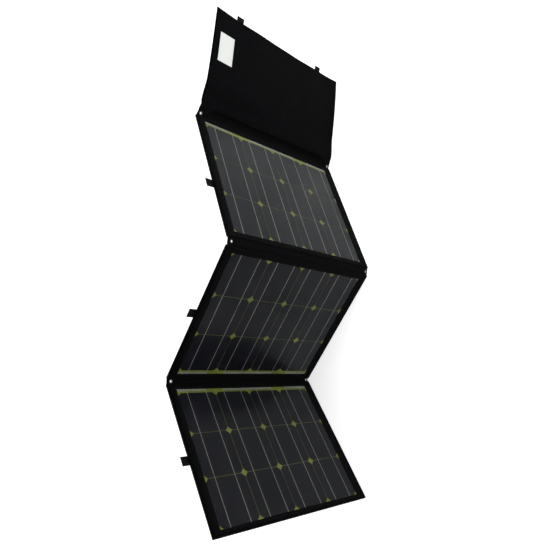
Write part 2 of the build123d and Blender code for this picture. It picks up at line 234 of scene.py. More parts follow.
def film_coat(s):
    """Values of the film's gloss on a material that lies under it, slightly wavy."""
    place = s.place()
    wave = s.bump(s.noise(place, 5.0, 1.0), 0.0004, 0.35)
    orange_peel = s.bump(s.noise(place, 300.0, 1.0), 0.00001, 0.4, wave)
    return {"Coat_Weight": 1.0, "Coat_IOR": 1.15, "Coat_Roughness": 0.14, "Coat_Normal": orange_peel}


def cell_material(run):
    """Dark silicon with fine printed fingers across the busbars; each cell a slightly other tone."""
    s = Shader(f"{run.body}_silicon")
    low = run.limits(f"{run.body}_cells")[0]
    turn = math.atan2(run.axes[0][1], run.axes[0][0])
    at = run.world([low[0], 0, low[2]])
    node = s.tree.nodes.new("ShaderNodeMapping")
    node.vector_type = "TEXTURE"
    s.set(node, {"Vector": s.place(), "Location": tuple(at), "Rotation": (0, 0, turn)})
    x, _, z = s.split(node.outputs[0])
    finger = s.math("PINGPONG", x, 0.001)
    finger = s.add("MapRange", Value=finger, From_Min=0.00004, From_Max=0.00009, To_Min=1.0, To_Max=0.0)
    column = s.math("FLOOR", s.math("DIVIDE", x, CELL_PITCH / 1000))
    row = s.math("FLOOR", s.math("DIVIDE", z, CELL_PITCH / 1000))
    joined = s.add("CombineXYZ", X=column, Y=row, Z=float(PANELS.index(run.body)))
    tone = s.add("TexWhiteNoise", Vector=joined)
    cloud = s.noise(node.outputs[0], 25.0, 3.0)
    silicon = s.mix(tone, (0.0018, 0.0017, 0.0050), (0.0030, 0.0029, 0.0066))
    silicon = s.mix(s.math("MULTIPLY", cloud, 0.5), silicon, (0.0040, 0.0040, 0.0052))
    colour = s.mix(s.math("MULTIPLY", finger, 0.3), silicon, (0.02, 0.02, 0.02))
    grain = s.bump(s.noise(node.outputs[0], 4000.0, 2.0), 0.000004)
    return s.finish(Base_Color=colour, Roughness=s.math("ADD", 0.42, s.math("MULTIPLY", finger, 0.2)),
                    Specular_IOR_Level=0.05, Normal=grain, **film_coat(s))


def laminate_material():
    s = Shader("yellow_green_laminate")
    place = s.place()
    patch = s.ramp(s.noise(place, 18.0, 4.0), 0.3, 0.7)
    glass = s.noise(place, 1400.0, 2.0)
    colour = s.mix(patch, (0.095, 0.112, 0.020), (0.140, 0.162, 0.029))
    return s.finish(Base_Color=colour, Roughness=s.math("ADD", 0.4, s.math("MULTIPLY", glass, 0.2)),
                    Specular_IOR_Level=0.1, Normal=s.bump(glass, 0.00005), **film_coat(s))


def tinned_material():
    s = Shader("tinned_copper")
    place = s.place()
    drag = s.noise(s.add("Mapping", Vector=place, Scale=(60.0, 60.0, 900.0)), 1.0, 4.0)
    dull = s.ramp(s.noise(place, 70.0, 4.0), 0.35, 0.75)
    colour = s.mix(dull, (0.200, 0.205, 0.180), (0.125, 0.130, 0.112))
    return s.finish(Base_Color=colour, Metallic=0.35, Normal=s.bump(drag, 0.00008, 0.6),
                    Roughness=s.math("ADD", 0.38, s.math("MULTIPLY", drag, 0.25)), **film_coat(s))


def film_material():
    """Clear front film: what lies under it shows, a little dimmed where the film is hazy.

    It is melted onto the cells, so its gloss is the coat of the materials under it.
    """
    s = Shader("clear_film")
    haze = s.ramp(s.noise(s.place(), 12.0, 5.0), 0.35, 0.8)
    clear = s.add("BsdfTransparent", Color=s.mix(haze, (0.98, 0.985, 0.98), (0.93, 0.94, 0.935)))
    s.tree.nodes.remove(s.surface)
    s.tree.links.new(clear, s.tree.nodes["Material Output"].inputs["Surface"])
    return s.material


def metal_material():
    s = Shader("bright_eyelet")
    place = s.place()
    scratch = s.noise(s.add("Mapping", Vector=place, Scale=(500.0, 500.0, 2500.0)), 1.0, 3.0)
    stain = s.ramp(s.noise(place, 300.0, 3.0), 0.4, 0.75)
    colour = s.mix(stain, (0.13, 0.133, 0.136), (0.08, 0.08, 0.08))
    return s.finish(Base_Color=colour, Metallic=1.0, Normal=s.bump(scratch, 0.00003),
                    Roughness=s.math("ADD", 0.22, s.math("MULTIPLY", scratch, 0.2)))


def moulded(name, dark, light, grain, rough, spec=0.4):
    """Moulded plastic or rubber: spark-eroded grain and slight mottling."""
    s = Shader(name)
    place = s.place()
    fine = s.add("TexVoronoi", Vector=place, Scale=grain)
    cloud = s.ramp(s.noise(place, 40.0, 4.0), 0.3, 0.75)
    return s.finish(Base_Color=s.mix(cloud, dark, light), Specular_IOR_Level=spec,
                    Roughness=s.math("ADD", rough, s.math("MULTIPLY", cloud, 0.12)),
                    Normal=s.bump(fine, 0.00006, 0.6))


CLOTH = woven("black_polyester", (0.0003, 0.0003, 0.0005), (0.0022, 0.0024, 0.0030), 0.00055, 0.00012)
TAPE_CLOTH = ribbed("binding_tape", (0.0002, 0.0002, 0.0003), (0.0014, 0.0015, 0.0019), 0.0009, 0.0005,
                    0.00012, 0.03)
WEBBING = ribbed("webbing", (0.0006, 0.0006, 0.0007), (0.0075, 0.0072, 0.0070), 0.0014, 0.0009, 0.00025, 0.08)
LABEL = woven("label_satin", (0.49, 0.50, 0.475), (0.66, 0.68, 0.65), 0.00028, 0.00003, 0.55, 0.0, 0.1)
SEWING = ribbed("sewing_thread", (0.0010, 0.0010, 0.0012), (0.0120, 0.0125, 0.0140), 0.0004, 0.0003,
                0.00005, 0.2)
LABEL_SEWING = ribbed("label_thread", (0.45, 0.45, 0.43), (0.75, 0.75, 0.72), 0.0004, 0.0003, 0.00005, 0.2)
FOAM = moulded("foam_board", (0.05, 0.05, 0.05), (0.09, 0.09, 0.09), 1500.0, 0.75, 0.2)
BOX = moulded("box_plastic", (0.003, 0.003, 0.0035), (0.007, 0.007, 0.0075), 2600.0, 0.5, 0.15)
RUBBER = moulded("gland_rubber", (0.008, 0.008, 0.008), (0.014, 0.014, 0.014), 3500.0, 0.6, 0.3)
DIODE = moulded("diode_epoxy", (0.012, 0.012, 0.012), (0.022, 0.022, 0.022), 5000.0, 0.3)
LAMINATE, TINNED, FILM, METAL = laminate_material(), tinned_material(), film_material(), metal_material()


def finish_nodes():
    """Gives each CAD node that stays its own material."""
    plain = {
        "laminate": LAMINATE, "busbars": TINNED, "bus_ribbons": TINNED, "box_terminals": TINNED,
        "front_sheet": FILM, "core_board": FOAM, "junction_box": BOX, "junction_lid": BOX,
        "bypass_diode": DIODE, "output_gland": RUBBER, "eyelets": METAL, "washers": METAL,
    }
    for name, node in NODES.items():
        for ending, material in plain.items():
            if name.endswith(ending):
                node.data.materials.clear()
                node.data.materials.append(material)
        if name.endswith("_cells"):
            node.data.materials.clear()
            node.data.materials.append(cell_material(RUN[name.removesuffix("_cells")]))


# ---- mesh tools ------------------------------------------------------------------------


def make(name, points, faces, uvs, material, closed=False):
    """A mesh object from points in metres, with one UV per face corner, in metres."""
    data = bpy.data.meshes.new(name)
    data.from_pydata([tuple(p) for p in points], [], faces)
    layer = data.uv_layers.new(name="UVMap")
    flat = [uvs[i] for face in faces for i in face]
    layer.data.foreach_set("uv", np.array(flat, np.float32).ravel())
    data.materials.append(material)
    data.shade_smooth()
    obj = bpy.data.objects.new(name, data)
    bpy.context.scene.collection.objects.link(obj)
    if closed:
        work = bmesh.new()
        work.from_mesh(data)
        bmesh.ops.recalc_face_normals(work, faces=work.faces)
        work.to_mesh(data)
        work.free()
    return obj


def quads(rows, columns, wrap=False):
    """Faces of a grid of rows by columns; wrap joins the last column to the first."""
    faces = []
    for i in range(rows - 1):
        for j in range(columns - (0 if wrap else 1)):
            k = (j + 1) % columns
            faces.append((i * columns + j, i * columns + k, (i + 1) * columns + k, (i + 1) * columns + j))
    return faces


def sweep(name, stations, profile, material):
    """A closed profile of (inward, outward) offsets carried along stations.

    A station is (point, inward direction, outward direction), all in metres or unit vectors.
    """
    profile = np.asarray(profile, float) / 1000
    steps = np.linalg.norm(np.roll(profile, -1, 0) - profile, axis=1)
    around = np.concatenate([[0], np.cumsum(steps)[:-1]])
    points, uvs, gone = [], [], 0.0
    for i, (p, inward, outward) in enumerate(stations):
        if i:
            gone += float(np.linalg.norm(p - stations[i - 1][0]))
        for (d, n), a in zip(profile, around):
            points.append(p + inward * d + outward * n)
            uvs.append((gone, a))
    count = len(profile)
    faces = quads(len(stations), count, True)
    faces.append(tuple(range(count))[::-1])
    faces.append(tuple(range((len(stations) - 1) * count, len(stations) * count)))
    return make(name, points, faces, uvs, material, closed=True)


def tape_profile(leg, half, thick):
    """Binding tape round an edge: (distance in from the edge, distance out from the middle)."""
    out = half + thick
    outer = [(leg, -out + 0.12), (leg - 0.5, -out), (leg * 0.55, -out), (2.6, -out), (1.2, -out + 0.15),
             (0.35, -out + 0.6), (0.05, -out + 1.4), (0.0, -out * 0.4), (0.0, out * 0.4),
             (0.05, out - 1.4), (0.35, out - 0.6), (1.2, out - 0.15), (2.6, out), (leg * 0.55, out),
             (leg - 0.5, out), (leg, out - 0.12)]
    inner = [(leg, half), (leg * 0.5, half), (1.6, half), (CLOTH_HALF, half - 0.9), (CLOTH_HALF, 0.0),
             (CLOTH_HALF, -half + 0.9), (1.6, -half), (leg * 0.5, -half), (leg, -half)]
    return outer + inner


def capsule():
    """One stitch lying along X from -0.5 to 0.5, unit radius, as points and faces."""
    rings = [(-0.5, 0.35), (-0.38, 0.9), (0.0, 1.05), (0.38, 0.9), (0.5, 0.35)]
    points, sides = [], 6
    for x, r in rings:
        for k in range(sides):
            a = 2 * math.pi * k / sides
            points.append((x, r * math.cos(a), r * math.sin(a)))
    faces = quads(len(rings), sides, True)
    faces.append(tuple(range(sides))[::-1])
    faces.append(tuple(range((len(rings) - 1) * sides, len(rings) * sides)))
    return np.array(points), faces


CAPSULE = capsule()


def sew(name, body, lines, material=SEWING, length=STITCH, gap=STITCH_GAP):
    """Running stitches along lines of (points, outward normals), in metres."""
    shape, shape_faces = CAPSULE
    points, faces, uvs = [], [], []
    for path, normals in lines:
        path, normals = np.asarray(path, float), np.asarray(normals, float)
        steps = np.linalg.norm(np.diff(path, axis=0), axis=1)
        far = np.concatenate([[0], np.cumsum(steps)])
        count = int(far[-1] * 1000 / (length + gap))
        for i in range(count):
            middle = (i + 0.5) * (length + gap) / 1000
            ends = [np.array([np.interp(t, far, path[:, k]) for k in range(3)])
                    for t in (middle - length / 2000, middle + length / 2000)]
            out = np.array([np.interp(middle, far, normals[:, k]) for k in range(3)])
            along = ends[1] - ends[0]
            side = np.cross(along / np.linalg.norm(along), out)
            side /= np.linalg.norm(side)
            lift = np.cross(side, along / np.linalg.norm(along))
            centre, base = (ends[0] + ends[1]) / 2, len(points)
            for x, r, h in shape:
                points.append(centre + along * x + (side * r + lift * h * 0.8) * THREAD / 1000)
                uvs.append((x * length / 1000, math.atan2(h, r) * 0.0003))
            faces += [tuple(base + k for k in face) for face in shape_faces]
    obj = make(name, points, faces, uvs, material)
    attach(obj, body)


def wobble(points, scale, size, seed):
    """Smooth seeded noise, one number per point."""
    return np.array([size * noise.noise(Vector((x * scale, y * scale, z * scale + seed)))
                     for x, y, z in points])


def spread(low, high, step):
    """Evenly spaced numbers from low to high, about step apart."""
    return np.linspace(low, high, max(2, int(round((high - low) / step)) + 1))


def sharpen(obj, degrees=50.0):
    obj.data.set_sharp_from_angle(angle=math.radians(degrees))


def double(name, middle, normal, front, back, uv, material):
    """A closed cloth body from a grid of middle points, with an offset to each face, in metres.

    middle and normal are rows x columns x 3, front and back are rows x columns offsets in mm.
    """
    rows, columns = middle.shape[:2]
    faces_out = middle - normal * (front / 1000)[..., None]
    faces_in = middle + normal * (back / 1000)[..., None]
    ring = np.concatenate([faces_out, faces_in[:, ::-1]], axis=1)
    uvs = np.concatenate([uv, uv[:, ::-1] + np.array([0.0, 0.9])], axis=1).reshape(-1, 2)
    count = 2 * columns
    faces = quads(rows, count, True)
    for row in (0, rows - 1):
        for j in range(columns - 1):
            k = count - 1 - j
            faces.append(tuple(row * count + n for n in (j, j + 1, k - 1, k)))
    return make(name, ring.reshape(-1, 3), faces, uvs, material, closed=True)


def drill(obj, centres, axis):
    """Cuts round holes through a closed body, for eyelets."""
    cutters = []
    for centre in centres:
        work = bmesh.new()
        turn = Vector((0, 0, 1)).rotation_difference(Vector(axis)).to_matrix().to_4x4()
        bmesh.ops.create_cone(work, cap_ends=True, segments=32, radius1=EYELET_HOLE / 1000,
                              radius2=EYELET_HOLE / 1000, depth=DRILL_DEPTH / 1000,
                              matrix=Matrix.Translation(Vector(centre)) @ turn)
        data = bpy.data.meshes.new("cutter")
        work.to_mesh(data)
        work.free()
        cutter = bpy.data.objects.new("cutter", data)
        bpy.context.scene.collection.objects.link(cutter)
        modifier = obj.modifiers.new("hole", "BOOLEAN")
        modifier.object, modifier.operation, modifier.solver = cutter, "DIFFERENCE", "EXACT"
        cutters.append(cutter)
    bpy.context.view_layer.update()
    cut = bpy.data.meshes.new_from_object(obj.evaluated_get(bpy.context.evaluated_depsgraph_get()))
    obj.modifiers.clear()
    cut.materials.clear()
    cut.materials.append(obj.data.materials[0])
    obj.data = cut
    for cutter in cutters:
        bpy.data.objects.remove(cutter)


# ---- a panel's cloth -------------------------------------------------------------------


class PanelShape:
    """A panel's outline and window in its own frame, read from the CAD pieces."""

    def __init__(self, body):
        self.body, self.run = body, RUN[body]
        low, high = self.run.limits(f"{body}_front_border")
        self.x, self.z = (low[0], high[0]), (low[2], high[2])
        low, high = self.run.limits(f"{body}_laminate")
        self.window_x, self.window_z = (low[0] + LAP, high[0] - LAP), (low[2] + LAP, high[2] - LAP)
        self.free = body == "panel_3"
        self.tape = self.run.limits(f"{body}_edge_binding")
        self.seed = 10.0 * PANELS.index(body)

    def edge_path(self):
        """Round the taped edges: stations of (point, inward, outward), mitred at free corners."""
        x0, x1 = self.tape[0][0], self.tape[1][0]
        up, right, out = np.array([0, 0, 1.0]), np.array([1.0, 0, 0]), np.array([0, 1.0, 0])
        lines = []
        if self.free:
            lines.append([(np.array([x, 0, 0]), up) for x in spread(x1, x0, -GRID)[:-1]]
                         + [(np.array([x0, 0, 0]), up + right)]
                         + [(np.array([x0, 0, z]), right) for z in spread(0, HEIGHT, GRID)[1:-1]]
                         + [(np.array([x0, 0, HEIGHT]), right - up)]
                         + [(np.array([x, 0, HEIGHT]), -up) for x in spread(x0, x1, GRID)[1:]])
        else:
            lines.append([(np.array([x, 0, 0]), up) for x in spread(x0, x1, GRID)])
            lines.append([(np.array([x, 0, HEIGHT]), -up) for x in spread(x0, x1, GRID)])
        turn = self.run.axes
        return [[(self.run.world(p), inward @ turn, out @ turn) for p, inward in line] for line in lines]


def front_cloth(p):
    """Cloth border round the window: a turned hem, a sewn channel, a slight puff; returns its seam."""
    (x0, x1), (z0, z1) = p.x, p.z
    (a0, a1), (b0, b1) = p.window_x, p.window_z
    inner, outer, sides = [], [], []
    corners = [((a0, b0), (x0, z0)), ((a1, b0), (x1, z0)), ((a1, b1), (x1, z1)), ((a0, b1), (x0, z1))]
    for k in range(4):
        (ia, oa), (ib, ob) = corners[k], corners[(k + 1) % 4]
        count = int(math.dist(ia, ib) / GRID)
        for i in range(count):
            t = i / count
            inner.append([ia[0] + t * (ib[0] - ia[0]), ia[1] + t * (ib[1] - ia[1])])
            outer.append([oa[0] + t * (ob[0] - oa[0]), oa[1] + t * (ob[1] - oa[1])])
            sides.append(0.0 if k in (0, 2) or (p.free and k == 3) or i < 1 else 1.0)
    inner, outer, sides = np.array(inner), np.array(outer), np.array(sides)
    if p.free:
        sides[outer[:, 0] < x0 + 1] = 0.0
    width = np.linalg.norm(outer - inner, axis=1)
    # distance from the window's edge, and depth in front of the panel's middle
    fixed = [(1.2, 3.05), (0.15, 3.12), (-0.1, 3.4), (-0.15, 3.75), (0.25, 4.05), (1.2, 4.18), (2.6, 4.2),
             (3.8, 4.12), (4.5, 3.86), (5.2, 4.08), (6.5, 4.16)]
    rings, uvs, steps = [], [], (0.5, 0.62, 0.74, 0.86)
    for i, (d, y) in enumerate(fixed):
        rings.append(((-d if i < 2 else d) / width, np.full(len(width), y)))
    for t in steps:
        rings.append((np.maximum(t, 7.0 / width), np.full(len(width), 4.2)))
    for d, y in ((2.4, 4.05), (1.0, 3.75), (0.3, 3.1), (0.0, 1.9), (0.0, CLOTH_HALF)):
        rings.append((1 - d / width, 3.95 * (1 - sides) + y * sides))
    points, loose = [], range(len(fixed) - 2, len(fixed) + len(steps))
    for i, (fraction, depth) in enumerate(rings):
        flat = inner + (outer - inner) * fraction[:, None]
        at = np.column_stack([flat, np.zeros(len(flat))])
        lift = (wobble(at, 0.016, 0.30, p.seed) + wobble(at, 0.07, 0.10, p.seed + 4)) * float(i in loose)
        points.append(np.column_stack([flat[:, 0], -(depth + lift), flat[:, 1]]))
        uvs.append(flat / 1000)
    count = len(inner)
    faces = [tuple(reversed(f)) for f in quads(len(rings), count, True)]
    obj = make(f"{p.body}_front_cloth", p.run.world(np.concatenate(points)), faces, np.concatenate(uvs),
               CLOTH)
    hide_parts(f"{p.body}_front_border")
    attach(obj, p.body)
    seam = inner + (outer - inner) * (4.5 / width)[:, None]
    seam = np.vstack([seam, seam[:1]])
    line = p.run.world(np.column_stack([seam[:, 0], np.full(len(seam), -3.98), seam[:, 1]]))
    return line, np.tile(-p.run.axes[1], (len(line), 1))


def back_cloth(p):
    """Back cover: one cloth over the foam, a little slack, turned down at its hinged ends."""
    xs = np.concatenate([p.x[0] + np.array([0, 0.0, 0.3, 1.0, 2.4]), spread(p.x[0] + 8, p.x[1] - 8, 10),
                         p.x[1] - np.array([2.4, 1.0, 0.3, 0.0, 0.0])])
    end = [CLOTH_HALF, 1.9, 3.1, 3.75, COVER]
    depth = np.concatenate([end, np.full(len(xs) - 10, COVER), end[::-1]])
    if p.free:
        depth[:5] = 3.95
    zs = spread(p.z[0], p.z[1], 10)
    box = p.run.limits(f"{p.body}_junction_box")
    still, ease = 14, 50  # mm from an edge where the slack begins, and over which it grows
    points, uvs = [], []
    for x, d in zip(xs, depth):
        for z in zs:
            inside = smooth((x - p.x[0] - still) / ease) * smooth((p.x[1] - still - x) / ease)
            inside *= smooth((z - still) / ease) * smooth((HEIGHT - still - z) / ease)
            reach = max(box[0][0] - x, x - box[1][0], box[0][2] - z, z - box[1][2])
            inside *= smooth((reach - 2) / 25)
            wave = 0.45 + 0.5 * noise.noise(Vector((x * 0.012, z * 0.008, p.seed)))
            wave += 0.22 * noise.noise(Vector((x * 0.05, z * 0.02, p.seed + 5)))
            points.append((x, d + 0.9 * inside * wave, z))
            uvs.append((x / 1000, z / 1000 + 0.7))
    obj = make(f"{p.body}_back_cloth", p.run.world(points), quads(len(xs), len(zs)), uvs, CLOTH)
    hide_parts(f"{p.body}_back_cover")
    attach(obj, p.body)


def tape_seam(stations, half, side, normals):
    """A sewing line on one leg of a tape, with its outward normals."""
    lift = side * (half + TAPE + THREAD_LIFT) / 1000
    line = [q + inward * TAPE_SEAM / 1000 + out * lift for q, inward, out in stations]
    return np.array(line), normals


def panel_binding(p):
    """Tape folded over the edges, and the sewing lines on both of its legs."""
    profile = tape_profile(LEG, COVER, TAPE)
    parts, seams = [], []
    for k, stations in enumerate(p.edge_path()):
        obj = sweep(f"{p.body}_tape_{k + 1}", stations, profile, TAPE_CLOTH)
        sharpen(obj)
        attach(obj, p.body)
        parts.append(obj)
        for side in (-1, 1):
            seams.append(tape_seam(stations, COVER, side, np.tile(side * p.run.axes[1], (len(stations), 1))))
    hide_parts(f"{p.body}_edge_binding")
    return seams


def tab_loop(sewn, reach, face):
    """Profile of webbing folded double: (distance out along the strap, distance off the face)."""
    inner, t = face + 0.62, TAB_LAYER / 2
    outer = inner + TAB_LAYER + 0.05
    line = np.array([
        (-sewn, inner), (-sewn * 0.5, inner), (0, inner), (reach * 0.5, inner - 0.05),
        (reach - 4, inner - 0.1), (reach - 2.2, inner - 0.35), (reach - 0.9, inner - 0.1),
        (reach - t, (inner + outer) / 2), (reach - 0.9, outer + 0.1), (reach - 2.2, outer + 0.35),
        (reach - 4, outer + 0.1), (reach * 0.5, outer + 0.05), (0, outer), (-sewn * 0.5, outer),
        (-sewn, outer)])
    tangent = np.gradient(line, axis=0)
    tangent /= np.linalg.norm(tangent, axis=1)[:, None]
    side = np.column_stack([tangent[:, 1], -tangent[:, 0]])
    return np.vstack([line + side * t * 0.96, (line - side * t * 0.96)[::-1]])


def tab_widths():
    return np.linspace(-TAB_WIDTH / 2, TAB_WIDTH / 2, 8)


def webbing_tab(name, body, across, points, outward, normal, reach, face, node=None):
    """Folded webbing, its edge through points (in metres, one per width station); returns its seam."""
    obj = sweep(name, [(p, outward, normal) for p in points], tab_loop(TAB_SEWN, reach, face), WEBBING)
    layer = obj.data.uv_layers["UVMap"].data
    values = np.empty(len(layer) * 2, np.float32)
    layer.foreach_get("uv", values)
    layer.foreach_set("uv", values.reshape(-1, 2)[:, ::-1].ravel())
    sharpen(obj, 60)
    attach(obj, body)
    if node:
        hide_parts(node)
    top, inset = (face + 2 * TAB_LAYER + 0.12) / 1000, 0.003
    middle, half, end = points[len(points) // 2], TAB_WIDTH / 2000 - inset, inset - TAB_SEWN / 1000
    box = [(-inset, -half), (-inset, half), (end, half), (end, -half), (-inset, -half), (end, half)]
    line = np.array([middle + outward * d + across * w + normal * top for d, w in box])
    return line, np.tile(normal, (len(line), 1))


def side_tab(p):
    low, high = p.run.limits(f"{p.body}_side_tab")
    centre, top = (low[0] + high[0]) / 2, high[2]
    turn = p.run.axes
    drop = 0.12 * (2 * np.abs(tab_widths()) / TAB_WIDTH) ** 4
    points = [p.run.world([centre + w, 0, HEIGHT - d]) for w, d in zip(tab_widths(), drop)]
    return webbing_tab(f"{p.body}_webbing_tab", p.body, turn[0], points, turn[2], turn[1], top - HEIGHT,
                       low[1], f"{p.body}_side_tab")


# ---- the folds -------------------------------------------------------------------------

LINES = {
    "fold_3": ("fold_3_near_panel_3", "fold_3_near_panel_2"),
    "fold_2": ("fold_2_near_panel_2", "fold_2_near_panel_1"),
    "fold_1": ("fold_1_near_panel_1", "fold_1_near_flap"),
}
DROOP = 8.5  # the flap's top edge below the panels' at the fold


def fold_strip(name, bend, before, after, reach, puff=0.0, hollow=0.0, centre=(0.0, 1.0), wave=0.0,
               droop=(0, 0), holes=None, node=None):
    """Cloth that runs from body before, round a bend line, to body after.

    reach is how far it goes each way. Between a wide spine's creases, whose middle and half width
    are centre, puff lifts its front and hollow sets it back.
    """
    corner = BENDS[bend].copy()
    corner[2] = 0
    d0, d1 = RUN[before].axes[0], RUN[after].axes[0]
    soft = 2.6
    ts = np.unique(np.concatenate([spread(-reach[0], -soft, 1.5), spread(-soft, soft, 0.65),
                                   spread(soft, reach[1], 1.5)]))
    zs = np.concatenate([[1.0, 1.15, 1.8], spread(4, HEIGHT - 4, 5.0),
                         [HEIGHT - 1.8, HEIGHT - 1.15, HEIGHT - 1.0]])
    edge = np.ones(len(zs))
    edge[[0, -1]], edge[[1, -2]] = 0.35, 0.75
    plan = []
    for t in ts:
        if t <= -soft:
            plan.append(corner + d0 * t)
        elif t >= soft:
            plan.append(corner + d1 * t)
        else:
            q = (t + soft) / (2 * soft)
            a, c = corner - d0 * soft, corner + d1 * soft
            plan.append((1 - q) ** 2 * a + 2 * q * (1 - q) * corner + q * q * c)
    plan = np.array(plan)
    tangent = np.gradient(plan, axis=0)
    tangent /= np.linalg.norm(tangent, axis=1)[:, None]
    normals = np.column_stack([-tangent[:, 1], tangent[:, 0], np.zeros(len(ts))])
    middle = np.zeros((len(ts), len(zs), 3))
    front, back = np.zeros(middle.shape[:2]), np.zeros(middle.shape[:2])
    low = droop[0] + (droop[1] - droop[0]) * smooth((ts + reach[0]) / sum(reach))
    for i, t in enumerate(ts):
        for j, z in enumerate(zs):
            high = z * (HEIGHT - low[i]) / HEIGHT
            middle[i, j] = (plan[i] + np.array([0, 0, high])) / 1000
            calm = smooth(min(z - 4, HEIGHT - 4 - z) / 22)
            thin = CLOTH_HALF + 0.12 * noise.noise(Vector((t * 0.3, z * 0.03, 3.0))) * calm
            between = max(0.0, 1 - abs((t - centre[0]) / centre[1]) ** 2.2)
            lift = puff * between * calm
            deep = smooth(min(z - 22, HEIGHT - 28 - z) / 40) * between ** 1.2
            ripple = hollow * deep + wave * noise.noise(Vector((0.0, z * 0.017, 8.0))) * calm * between
            front[i, j] = (thin + lift) * edge[j] - ripple
            back[i, j] = (thin + lift * 0.4) * edge[j] + ripple
    normal = np.repeat(normals[:, None, :], len(zs), axis=1)
    uv = np.stack(np.meshgrid(ts / 1000, zs / 1000, indexing="ij"), axis=-1)
    obj = double(name, middle, normal, front, back, uv, CLOTH)
    if holes is not None:
        drill(obj, *holes)
    sharpen(obj)
    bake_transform(obj)
    if node:
        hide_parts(node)


def eyelet_holes(spine, fold):
    """The middles of a spine's two eyelets, and their axis."""
    run = RUN[spine]
    low, high = run.limits(f"{fold}_eyelets")
    x, radius = (low[0] + high[0]) / 2, (high[0] - low[0]) / 2
    return [run.world([x, 0, low[2] + radius]), run.world([x, 0, high[2] - radius])], tuple(run.axes[1])


def folds():
    """Each fold's cloth, as a strip round each of its two bend lines."""
    for fold, spine, before, after, share, puff, hollow, wave, droop in (
        ("fold_3", "spine_23", "panel_3", "panel_2", 0.75, 0.25, 0.0, 0.0, 0.0),
        ("fold_2", "spine_12", "panel_2", "panel_1", 0.75, 1.5, 0.0, 0.3, 0.0),
        ("fold_1", "spine_01", "panel_1", "flap", 0.55, 0.4, 8.0, 1.2, DROOP),
    ):
        first, second = LINES[fold]
        width = float(np.linalg.norm(BENDS[second][:2] - BENDS[first][:2]))
        split, half, crease = width * share, width / 2, width * 0.46
        fold_strip(f"{fold}_strip_1", first, before, spine, (FOLD_INSIDE, split), puff, hollow,
                   (half, crease), wave, (0, droop * share), eyelet_holes(spine, fold), f"{fold}_cloth")
        fold_strip(f"{fold}_strip_2", second, spine, after, (width - split, FOLD_INSIDE), puff, hollow,
                   (-half, crease), wave, (droop * share, droop))


# ---- the flap --------------------------------------------------------------------------

FLAP_RUN = RUN["flap"]
FLAP_LENGTH = FLAP_RUN.limits("flap_binding")[1][0]
CORNER_DRAW, HOLLOW = 7.0, 6.0  # free corners drawn out, free edge hollow between them
LABEL_SHIFT = 8.0  # the label is this much nearer to the fold than its CAD node


def flap_middle(s, v):
    """The flap's middle surface: s from the fold to the free edge, v from the floor up."""
    s, v = np.asarray(s, float), np.asarray(v, float)
    bow = np.sin(np.pi * np.clip(v, 0, 1)) ** 0.7
    length = FLAP_LENGTH + CORNER_DRAW * (1 - 1.9 * v) - HOLLOW * bow
    x = s * length
    ease = smooth((x - 10) / 70)
    foot = 6.5 * ease + 17 * np.clip(s, 0, 1) ** 2.2
    head = -13.0 * ease + 3.0 * np.clip(s, 0, 1) ** 3
    free = smooth((x - 14) / 60)
    ridges = 1.5 * np.sin(5.3 * v + 0.7 + 0.8 * s) * np.sin(np.pi * v)
    ridges += 0.9 * np.sin(14.0 * v + 1.1 * s + 0.4) + 0.5 * np.sin(27.0 * v - 2.0 * s)
    y = (1 - v) * foot + v * head + ridges * free * smooth(v / 0.06) * smooth((1 - v) / 0.04)
    top = HEIGHT - DROOP - 6.5 * s ** 1.5 - 2.0 * np.sin(np.pi * s)
    return np.stack([x, y, v * top], axis=-1)


def flap_at(x, z):
    """The flap's middle surface at a distance from the fold and a height, both in millimetres."""
    v = z / flap_middle(x / FLAP_LENGTH, 1.0)[2]
    return flap_middle(x / flap_middle(1.0, v)[0], v)


def flap_frame(s, v):
    """World point, direction away from the fold, up and back normal of the flap's surface."""
    e = 1e-3
    p = flap_middle(s, v)
    a = flap_middle(s + e, v) - p
    b = flap_middle(s, v + e) - p
    a, b = a / np.linalg.norm(a), b / np.linalg.norm(b)
    n = np.cross(b, a)
    turn = FLAP_RUN.axes
    return FLAP_RUN.world(p), a @ turn, b @ turn, (n / np.linalg.norm(n)) @ turn


def flap_cloth():
    """Both cloths of the flap and the stiffener between them, as one body."""
    root = np.array([1.6, 2.4, 3.6, 6.0, 9.0]) / FLAP_LENGTH
    ss = np.concatenate([root, spread(13 / FLAP_LENGTH, 1 - TAPE / FLAP_LENGTH, 6 / FLAP_LENGTH)])
    vs = spread(1.0 / HEIGHT, 1 - 1.0 / HEIGHT, GRID / HEIGHT)
    s, v = np.meshgrid(ss, vs, indexing="ij")
    local = flap_middle(s, v)
    middle = FLAP_RUN.world(local)
    normal = np.tile(FLAP_RUN.axes[1], (*s.shape, 1))
    half = CLOTH_HALF + (FLAP - 0.66) * smooth((local[..., 0] - 1.8) / 7)
    crease = np.array([[noise.noise(Vector((x * 0.06, z * 0.02, 2.0))) for x, _, z in row] for row in local])
    fine = np.array([[noise.noise(Vector((x * 0.02, z * 0.09, 6.0))) for x, _, z in row] for row in local])
    puff = (0.22 * crease + 0.12 * fine) * smooth((local[..., 0] - 12) / 20)
    uv = np.stack([local[..., 0], local[..., 2]], axis=-1) / 1000
    obj = double("flap_cloth", middle, normal, half + puff, half - puff * 0.5, uv, CLOTH)
    sharpen(obj)
    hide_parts("flap_outer_cloth", "flap_inner_cloth", "flap_stiffener")
    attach(obj, "flap")


